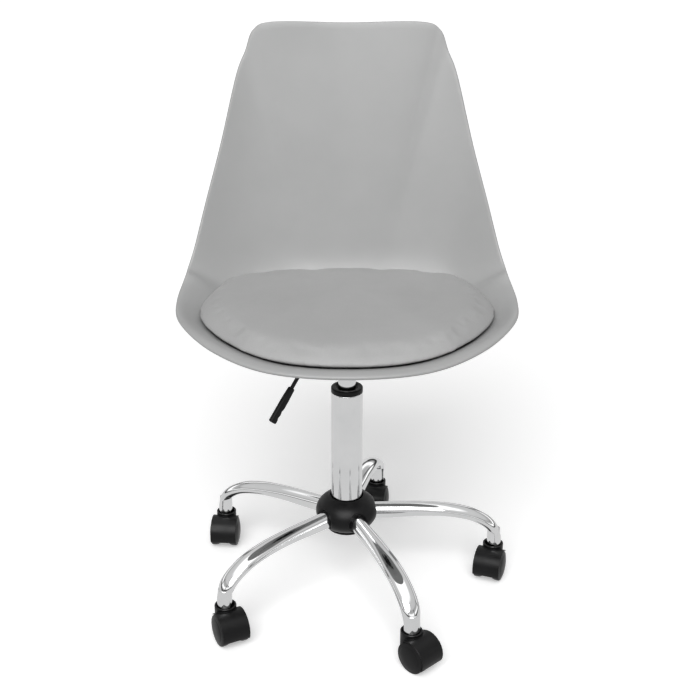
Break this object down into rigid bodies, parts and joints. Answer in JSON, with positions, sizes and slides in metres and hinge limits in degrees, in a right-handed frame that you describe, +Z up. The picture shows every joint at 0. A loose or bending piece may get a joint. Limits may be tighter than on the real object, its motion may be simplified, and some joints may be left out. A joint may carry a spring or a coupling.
{
  "type": "swivel desk chair",
  "caption": "Height-adjustable swivel desk chair with a moulded bucket shell, padded cushion, gas lift, five-arm chrome base and twin-wheel casters.",
  "frame": {"origin": "on the column's axis at floor level, the centre of the box's underside", "axes": "+Z up along the column, the sitter faces -Y, +X is the sitter's left"},
  "size_m": [0.5317, 0.5559, 0.8714],
  "materials": {
    "shell_plastic": "satin",
    "leatherette": "satin",
    "black_plastic": "satin",
    "chrome": "polished",
    "steel": "brushed",
    "black_steel": "satin",
    "plywood": "sanded",
    "rubber": "matte"
  },
  "bodies": {
    "base": {"column_tube": "chrome", "guide_bush": "black_plastic", "hub_core": "steel", "hub_cover": "black_plastic", "hub_cap": "black_plastic", "bearing_lower": "steel", "bearing_cage": "steel", "arm_1": "chrome", "arm_2": "chrome", "arm_3": "chrome", "arm_4": "chrome", "arm_5": "chrome", "stem_sleeve_1": "chrome", "stem_sleeve_2": "chrome", "stem_sleeve_3": "chrome", "stem_sleeve_4": "chrome", "stem_sleeve_5": "chrome", "caster_1_stem": "steel", "caster_2_stem": "steel", "caster_3_stem": "steel", "caster_4_stem": "steel", "caster_5_stem": "steel"},
    "rod": {"piston_rod": "steel", "piston_head": "black_plastic", "rod_clip": "steel", "bearing_upper": "steel", "bump_stop": "rubber"},
    "seat": {"seat_shell": "shell_plastic", "seat_cushion": "leatherette", "cushion_board": "plywood", "seat_plate": "black_steel", "seat_bolt_1": "steel", "seat_bolt_2": "steel", "seat_bolt_3": "steel", "seat_bolt_4": "steel", "lever_clip": "black_plastic", "lift_cylinder": "chrome"},
    "lever": {"lever_rod": "black_steel", "lever_grip": "black_plastic"},
    "button": {"release_button": "steel"},
    "caster_1": {"caster_1_housing": "black_plastic", "caster_1_axle": "steel"},
    "wheel_1_left": {"caster_1_wheel_left": "black_plastic"},
    "wheel_1_right": {"caster_1_wheel_right": "black_plastic"},
    "caster_2": {"caster_2_housing": "black_plastic", "caster_2_axle": "steel"},
    "wheel_2_left": {"caster_2_wheel_left": "black_plastic"},
    "wheel_2_right": {"caster_2_wheel_right": "black_plastic"},
    "caster_3": {"caster_3_housing": "black_plastic", "caster_3_axle": "steel"},
    "wheel_3_left": {"caster_3_wheel_left": "black_plastic"},
    "wheel_3_right": {"caster_3_wheel_right": "black_plastic"},
    "caster_4": {"caster_4_housing": "black_plastic", "caster_4_axle": "steel"},
    "wheel_4_left": {"caster_4_wheel_left": "black_plastic"},
    "wheel_4_right": {"caster_4_wheel_right": "black_plastic"},
    "caster_5": {"caster_5_housing": "black_plastic", "caster_5_axle": "steel"},
    "wheel_5_left": {"caster_5_wheel_left": "black_plastic"},
    "wheel_5_right": {"caster_5_wheel_right": "black_plastic"}
  },
  "joints": [
    {"name": "seat_swivel", "type": "hinge", "parent": "base", "child": "rod", "pos_m": [0, 0, 0.122], "axis": [0, 0, 1], "continuous": true},
    {"name": "seat_height", "type": "slide", "parent": "rod", "child": "seat", "axis": [0, 0, 1], "range_m": [0, 0.11]},
    {"name": "lever_lift", "type": "hinge", "parent": "seat", "child": "lever", "pos_m": [-0.03447, -0.02892, 0.4065], "axis": [-0.6428, 0.766, 0], "range_deg": [0, 6], "stiffness_Nm_per_rad": 1.5},
    {"name": "button_press", "type": "slide", "parent": "seat", "child": "button", "axis": [0, 0, -1], "range_m": [0, 0.0055]},
    {"name": "caster_1_swivel", "type": "hinge", "parent": "base", "child": "caster_1", "pos_m": [0.24467, 0.02012, 0.05], "axis": [0, 0, 1], "continuous": true},
    {"name": "wheel_1_left_roll", "type": "hinge", "parent": "caster_1", "child": "wheel_1_left", "pos_m": [0.23818, 0.00387, 0.025], "axis": [0.9285, -0.3714, 0], "continuous": true},
    {"name": "wheel_1_right_roll", "type": "hinge", "parent": "caster_1", "child": "wheel_1_right", "pos_m": [0.23818, 0.00387, 0.025], "axis": [0.9285, -0.3714, 0], "continuous": true},
    {"name": "caster_2_swivel", "type": "hinge", "parent": "base", "child": "caster_2", "pos_m": [0.05648, 0.23891, 0.05], "axis": [0, 0, 1], "continuous": true},
    {"name": "wheel_2_left_roll", "type": "hinge", "parent": "caster_2", "child": "wheel_2_left", "pos_m": [0.05224, 0.22193, 0.025], "axis": [0.9703, -0.2419, 0], "continuous": true},
    {"name": "wheel_2_right_roll", "type": "hinge", "parent": "caster_2", "child": "wheel_2_right", "pos_m": [0.05224, 0.22193, 0.025], "axis": [0.9703, -0.2419, 0], "continuous": true},
    {"name": "caster_3_swivel", "type": "hinge", "parent": "base", "child": "caster_3", "pos_m": [-0.20977, 0.12754, 0.05], "axis": [0, 0, 1], "continuous": true},
    {"name": "wheel_3_left_roll", "type": "hinge", "parent": "caster_3", "child": "wheel_3_left", "pos_m": [-0.21123, 0.1101, 0.025], "axis": [0.9965, -0.0837, 0], "continuous": true},
    {"name": "wheel_3_right_roll", "type": "hinge", "parent": "caster_3", "child": "wheel_3_right", "pos_m": [-0.21123, 0.1101, 0.025], "axis": [0.9965, -0.0837, 0], "continuous": true},
    {"name": "caster_4_swivel", "type": "hinge", "parent": "base", "child": "caster_4", "pos_m": [-0.18612, -0.16009, 0.05], "axis": [0, 0, 1], "continuous": true},
    {"name": "wheel_4_left_roll", "type": "hinge", "parent": "caster_4", "child": "wheel_4_left", "pos_m": [-0.17818, -0.17568, 0.025], "axis": [0.891, 0.454, 0], "continuous": true},
    {"name": "wheel_4_right_roll", "type": "hinge", "parent": "caster_4", "child": "wheel_4_right", "pos_m": [-0.17818, -0.17568, 0.025], "axis": [0.891, 0.454, 0], "continuous": true},
    {"name": "caster_5_swivel", "type": "hinge", "parent": "base", "child": "caster_5", "pos_m": [0.09474, -0.22648, 0.05], "axis": [0, 0, 1], "continuous": true},
    {"name": "wheel_5_left_roll", "type": "hinge", "parent": "caster_5", "child": "wheel_5_left", "pos_m": [0.10674, -0.23922, 0.025], "axis": [0.7278, 0.6858, 0], "continuous": true},
    {"name": "wheel_5_right_roll", "type": "hinge", "parent": "caster_5", "child": "wheel_5_right", "pos_m": [0.10674, -0.23922, 0.025], "axis": [0.7278, 0.6858, 0], "continuous": true}
  ],
  "couplings": [
    {"joint": "button_press", "follows": "lever_lift", "m_per_rad": 0.05}
  ]
}
